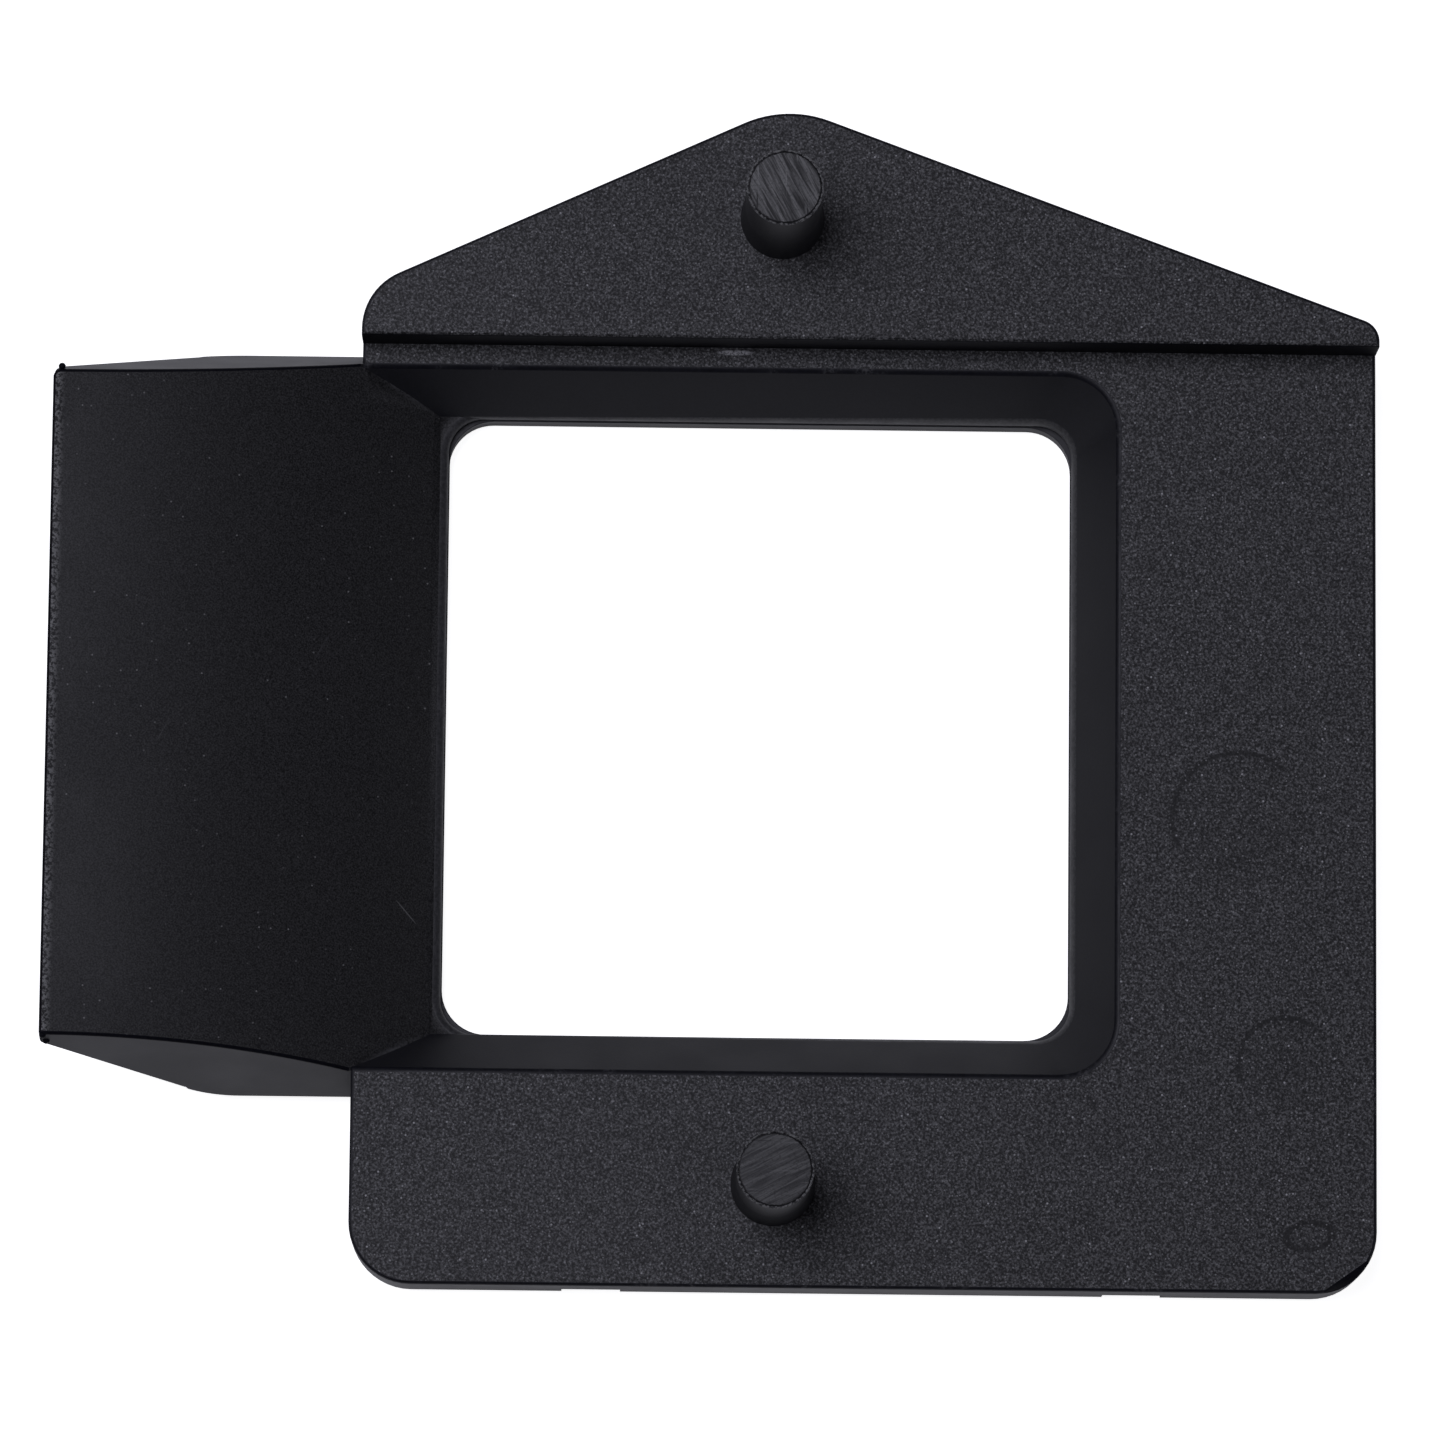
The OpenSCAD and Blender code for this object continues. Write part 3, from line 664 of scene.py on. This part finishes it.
class CARRIER_OT_gate_plate(bpy.types.Operator):
    """Gate plate: grained face, smooth sloped walls, rounded land and the ramp"""

    bl_idname = "carrier.gate_plate"
    bl_label = "Gate Plate"

    def execute(self, context):
        s = sizes()
        bm = merged_copy("gate_plate")
        self.round_all(bm, s)
        self.choose_slots(bm)
        self.even_ramp(bm)
        self.trim_corner(bm, s.corner_flat)
        for along, across, drop in FLASH_NUBS:
            self.flash(bm, Vector((TIP_X + along, across, PLATE_HIGH.z - drop)), s.flash)
        finished(bm, "gate_plate_moulding", "gate_plate", "gate_half",
                 [grained_plastic("grained plate face", OVAL_MARKS, STEP_RUB),
                  smooth_plastic(), worn_edge(), ramp_plastic(),
                  # Painted shade: the smooth plastic with almost no reflection, for the ramp's rounded
                  # edges, the trimmed corner and the flash
                  smooth_plastic("dark ramp edge", 0.06),
                  # The land's rounded edges: the worn-edge material on a much paler ground, a painted
                  # highlight where the light catches them
                  worn_edge("rubbed land", shade(finish().worn, 0.45))])
        return {"FINISHED"}

    def round_all(self, bm, s):
        """Rounds the rims of the face, then the ramp, and last the land and the opening's film side"""
        rims = large_loops(sharp_edges(bm, lambda e: on_level(e, FACE_Z)))
        round_edges(bm, rims, s.face_edge, slot=WORN)
        corners = sharp_edges(bm, lambda e: middle(e).x < TIP_X + TOLERANCE and middle(e).y > FAR_SIDE
                              and max(v.co.z for v in e.verts) > PLATE_HIGH.z - TOLERANCE)
        round_edges(bm, corners, s.tip_corner, slot=WORN)
        # The ramp's rounded edges beyond the plate are given painted shade
        beyond = sharp_edges(bm, lambda e: middle(e).x < RAMP_X - RAMP_ROOT_GAP
                             and middle(e).z > COVER_HIGH.z + CLEAR)
        round_edges(bm, beyond, s.ramp_edge, slot=SHADED)
        # The land's edges are rounded and given the painted highlight
        land = sharp_edges(bm, lambda e: on_level(e, FILM_Z + s.land_height)
                           and abs(middle(e).x) < LAND_REACH)
        round_edges(bm, land, s.land_edge, segments=4, slot=LIT_LAND)
        film_rim = sharp_edges(bm, lambda e: on_level(e, FILM_Z)
                               and max(abs(middle(e).x), abs(middle(e).y)) < FILM_RIM_REACH)
        round_edges(bm, film_rim, s.film_edge, slot=WORN)

    def choose_slots(self, bm):
        """The face is grained, the ramp has its own finish, and the rest is smooth"""
        for face in bm.faces:
            if face.material_index in (WORN, SHADED, LIT_LAND):
                continue
            lies_along = face.normal.z > 0.3 and abs(face.normal.y) < 0.1
            if on_face(face):
                face.material_index = GRAINED
            elif lies_along and face.calc_center_median().x < -MASK_OPENING:
                face.material_index = RAMP
            else:
                face.material_index = SMOOTH

    def even_ramp(self, bm):
        """Cuts the ramp's faces in line with the recess, which keeps their shading even"""
        for y in (-RAMP_CUT, RAMP_CUT):
            faces = [f for f in bm.faces if f.material_index == RAMP]
            edges = dict.fromkeys(e for f in faces for e in f.edges)
            verts = dict.fromkeys(v for f in faces for v in f.verts)
            bmesh.ops.bisect_plane(bm, geom=[*faces, *edges, *verts], plane_co=(0, y, 0),
                                   plane_no=(0, 1, 0), dist=1e-6)

    def trim_corner(self, bm, width):
        """Trims a flat onto the rim of the far rear corner and gives it the nearly unreflecting plastic,
        which leaves a crescent of painted shade
        """
        out = Vector(CORNER_FLAT_DIRECTION).normalized()
        centre = Vector((PLATE_HIGH.x - CORNER_RADIUS, PLATE_LOW.y + CORNER_RADIUS, FACE_Z))
        normal = (out + Vector((0, 0, 1))).normalized()
        cut = bmesh.ops.bisect_plane(bm, geom=bm.verts[:] + bm.edges[:] + bm.faces[:], dist=1e-7,
                                     plane_co=centre + out * (CORNER_RADIUS - width),
                                     plane_no=normal, clear_outer=True)
        rim = [e for e in cut["geom_cut"] if isinstance(e, bmesh.types.BMEdge)]
        for face in bmesh.ops.edgeloop_fill(bm, edges=rim, mat_nr=SHADED)["faces"]:
            if face.normal.dot(normal) < 0:
                face.normal_flip()

    def flash(self, bm, spot, radius):
        """A small nub of moulding flash left at a corner of the ramp's tip"""
        nub = bmesh.ops.create_icosphere(bm, subdivisions=2, radius=radius)["verts"]
        bmesh.ops.scale(bm, verts=nub, vec=(1.0, 1.0, 0.9))
        bmesh.ops.translate(bm, verts=nub, vec=spot)
        # The nub is given painted shade
        for face in {f for v in nub for f in v.link_faces}:
            face.material_index = SHADED


class CARRIER_OT_handle_block(bpy.types.Operator):
    """Handle block: a grained top with rounded edges, and a stop face of painted shade in a matt copy of
    the smooth plastic
    """

    bl_idname = "carrier.handle_block"
    bl_label = "Handle Block"

    def execute(self, context):
        s = sizes()
        bm = merged_copy("handle_block")
        top = large_loops(sharp_edges(bm, lambda e: on_level(e, BLOCK_Z)))
        round_edges(bm, top, s.block_edge, slot=WORN)
        foot = sharp_edges(bm, lambda e: on_level(e, FACE_Z) and middle(e).y > STOP_Y + CLEAR)
        round_edges(bm, large_loops(foot), s.face_edge / 2, segments=2, slot=WORN)
        for face in bm.faces:
            over_stop = face.normal.y < -0.2 and face.normal.z > 0.35
            # The stop face is given painted shade: a copy of the smooth plastic with little reflection
            if face.normal.y < -0.9:
                face.material_index = STOP_SHADE
            elif over_stop:
                face.material_index = GRAINED
            elif face.material_index != WORN:
                face.material_index = GRAINED if face.normal.z > FLAT else SMOOTH
        finished(bm, "handle_block_moulding", "handle_block", "gate_half",
                 [grained_plastic("grained block face"), smooth_plastic("smooth block side"),
                  worn_edge("worn block edge"), smooth_plastic("matt stop face", 0.1)])
        return {"FINISHED"}


class CARRIER_OT_dowels(bpy.types.Operator):
    """Dowels: a tapered root, a straight side, and a tip that was ground flat"""

    bl_idname = "carrier.dowels"
    bl_label = "Dowels"

    def execute(self, context):
        self.make("handle_dowel", BLOCK_Z, math.radians(113), 1.0)
        self.make("rear_dowel", FACE_Z, math.radians(21), 0.6)
        return {"FINISHED"}

    def make(self, node, foot, turn, cut):
        """One dowel on the face at height foot; turn and cut are those of its ground tip"""
        s = sizes()
        low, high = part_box(node)
        spot = ((low.x + high.x) / 2, (low.y + high.y) / 2)
        root = (high.x - low.x) / 2
        radius = s.dowel_width / 2
        spigot = s.spigot_width / 2
        tap = s.tap_width / 2
        top = high.z
        waist = foot + s.root_height
        proud = radius + s.burr
        chamfer, ease, soften = 0.0003, 0.00005, 0.0006
        tapped_hole = [(0, waist), (tap, waist), (tap, low.z)]
        stem = [(spigot - chamfer, low.z), (spigot, low.z + chamfer), (spigot, foot)]
        taper = [(root - ease, foot), (root, foot + 2 * ease), (radius + 0.00002, waist - soften),
                 (radius, waist + soften)]
        burr = [(radius, top - 0.00035), (proud, top - 0.0002), (proud, top - 0.00012)]
        groove = [(radius - ease, top - 0.00002), (radius - 0.00012, top - 0.00006),
                  (radius - 0.0002, top - 0.00001)]
        tip = [(radius - 0.0003, top), (0, top)]
        bm = lathe(tapped_hole + stem + taper + burr + groove + tip, spot, s.dowel_steps)
        for face in bm.faces:
            middle_point = face.calc_center_median()
            away = (middle_point.xy - Vector(spot)).length
            ground = away < proud and middle_point.z > top - 0.0002
            face.material_index = 1 if ground else 0
        finished(bm, node + "_turned", node, "gate_half",
                 [smooth_plastic("smooth " + node, 0.62),
                  ground_plastic("ground tip " + node, (*spot, top), turn, radius, cut)])


class CARRIER_OT_cover_plate(bpy.types.Operator):
    """Cover plate: grained outside, smooth film channel"""

    bl_idname = "carrier.cover_plate"
    bl_label = "Cover Plate"

    def execute(self, context):
        bm = merged_copy("cover_plate")
        rim = sharp_edges(bm, lambda e: on_level(e, 0) and middle(e).y > MASK_LOW.y - HINGE_MARGIN)
        round_edges(bm, large_loops(rim), sizes().cover_edge, slot=WORN)
        for face in bm.faces:
            outside = abs(face.normal.z) > FLAT and face.calc_center_median().z < OUTSIDE_Z
            if face.material_index != WORN:
                face.material_index = GRAINED if outside else SMOOTH
        finished(bm, "cover_plate_moulding", "cover_plate", "cover_half",
                 [grained_plastic("grained cover face"), smooth_plastic("smooth cover"),
                  worn_edge("worn cover edge")])
        return {"FINISHED"}


class CARRIER_OT_format_mask(bpy.types.Operator):
    """Format mask: thin blackened sheet with deburred edges"""

    bl_idname = "carrier.format_mask"
    bl_label = "Format Mask"

    def execute(self, context):
        bm = merged_copy("format_mask")
        rims = large_loops(sharp_edges(bm, lambda e: on_level(e, MASK_HIGH.z)))
        round_edges(bm, rims, sizes().mask_edge, segments=2)
        finished(bm, "format_mask_sheet", "format_mask", "cover_half",
                 [blacked_metal()])
        return {"FINISHED"}


class CARRIER_OT_fixings(bpy.types.Operator):
    """Screws, hinge pins and film guide pins, in plain turned steel"""

    bl_idname = "carrier.fixings"
    bl_label = "Screws and Pins"

    def execute(self, context):
        steel = turned_steel()
        for node in ("dowel_screws", "block_screws", "mask_screws", "left_hinge_pin", "right_hinge_pin",
                     "film_guide_pins"):
            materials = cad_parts[node].data.materials
            materials.clear()
            materials.append(steel)
        return {"FINISHED"}


class CARRIER_OT_stage(bpy.types.Operator):
    """Floor, soft lights and camera"""

    bl_idname = "carrier.stage"
    bl_label = "Stage"

    def execute(self, context):
        self.floor()
        self.surround()
        self.light("key light", KEY_PLACE, KEY_WIDTH, stage().key_power)
        self.light("fill light", FILL_PLACE, FILL_WIDTH, stage().fill_power)
        self.camera()
        context.scene.view_settings.view_transform = "Standard"
        return {"FINISHED"}

    def floor(self):
        """A pale floor that looks white but throws little light"""
        bm = bmesh.new()
        bmesh.ops.create_circle(bm, cap_ends=True, cap_tris=False, segments=64, radius=FLOOR_RADIUS)
        bmesh.ops.translate(bm, verts=bm.verts, vec=(0, 0, -FLOOR_DROP))
        mesh = bpy.data.meshes.new("floor")
        bm.to_mesh(mesh)
        bm.free()
        recipe = Recipe("pale floor", stage().floor, 0.9, 0.1)
        recipe.shader.inputs["Emission Color"].default_value = (1, 1, 1, 1)
        seen = recipe.add("ShaderNodeLightPath").outputs["Is Camera Ray"]
        recipe.join(recipe.ramp(seen, 0, 1, stage().floor_light, stage().floor_glow),
                    recipe.shader.inputs["Emission Strength"])
        mesh.materials.append(recipe.material)
        floor = bpy.data.objects.new("floor", mesh)
        bpy.context.scene.collection.objects.link(floor)

    def surround(self):
        """A surround that looks white but throws little light"""
        world = bpy.data.worlds.new("surround")
        world.use_nodes = True
        tree = world.node_tree
        back = tree.nodes["Background"]
        back.inputs["Color"].default_value = (*stage().light_colour, 1)
        seen = tree.nodes.new("ShaderNodeLightPath")
        strength = tree.nodes.new("ShaderNodeMapRange")
        tree.links.new(seen.outputs["Is Camera Ray"], strength.inputs["Value"])
        strength.inputs["To Min"].default_value = stage().surround
        strength.inputs["To Max"].default_value = SKY_GLOW
        tree.links.new(strength.outputs["Result"], back.inputs["Strength"])
        bpy.context.scene.world = world

    def light(self, name, place, width, power):
        """A round soft light at that place, aimed at the gate axis"""
        lamp = bpy.data.lights.new(name, "AREA")
        lamp.shape = "DISK"
        lamp.size = width
        lamp.energy = power
        lamp.color = stage().light_colour
        holder = bpy.data.objects.new(name, lamp)
        holder.location = place
        holder.rotation_euler = Vector(place).to_track_quat("Z", "Y").to_euler()
        bpy.context.scene.collection.objects.link(holder)

    def camera(self):
        lens = bpy.data.cameras.new("camera")
        lens.sensor_width = 36
        lens.lens = stage().lens
        lens.clip_start, lens.clip_end = 0.01, 20
        holder = bpy.data.objects.new("camera", lens)
        holder.location = stage().camera_place
        holder.rotation_euler = Euler([math.radians(a) for a in stage().camera_turn])
        bpy.context.scene.collection.objects.link(holder)
        bpy.context.scene.camera = holder


STEPS = (CARRIER_OT_gate_plate, CARRIER_OT_handle_block, CARRIER_OT_dowels, CARRIER_OT_cover_plate,
         CARRIER_OT_format_mask, CARRIER_OT_fixings, CARRIER_OT_stage)


class CARRIER_PT_panel(bpy.types.Panel):
    """Lists the carrier's pieces in the sidebar"""

    bl_idname = "CARRIER_PT_panel"
    bl_label = "Negative Carrier"
    bl_space_type = "VIEW_3D"
    bl_region_type = "UI"
    bl_category = "Carrier"

    def draw(self, context):
        column = self.layout.column()
        for step in STEPS:
            column.operator(step.bl_idname)
        for group in (sizes(), finish(), stage()):
            for key in group.__annotations__:
                column.prop(group, key)


CLASSES = (CarrierSizes, CarrierFinish, CarrierStage, *STEPS, CARRIER_PT_panel)


def register():
    for item in CLASSES:
        bpy.utils.register_class(item)
    bpy.types.Scene.carrier_sizes = PointerProperty(type=CarrierSizes)
    bpy.types.Scene.carrier_finish = PointerProperty(type=CarrierFinish)
    bpy.types.Scene.carrier_stage = PointerProperty(type=CarrierStage)


def unregister():
    for key in ("carrier_sizes", "carrier_finish", "carrier_stage"):
        delattr(bpy.types.Scene, key)
    for item in reversed(CLASSES):
        bpy.utils.unregister_class(item)


def main():
    register()
    bpy.ops.carrier.gate_plate()
    bpy.ops.carrier.handle_block()
    bpy.ops.carrier.dowels()
    bpy.ops.carrier.cover_plate()
    bpy.ops.carrier.format_mask()
    bpy.ops.carrier.fixings()
    bpy.ops.carrier.stage()


if __name__ == "__main__":
    main()
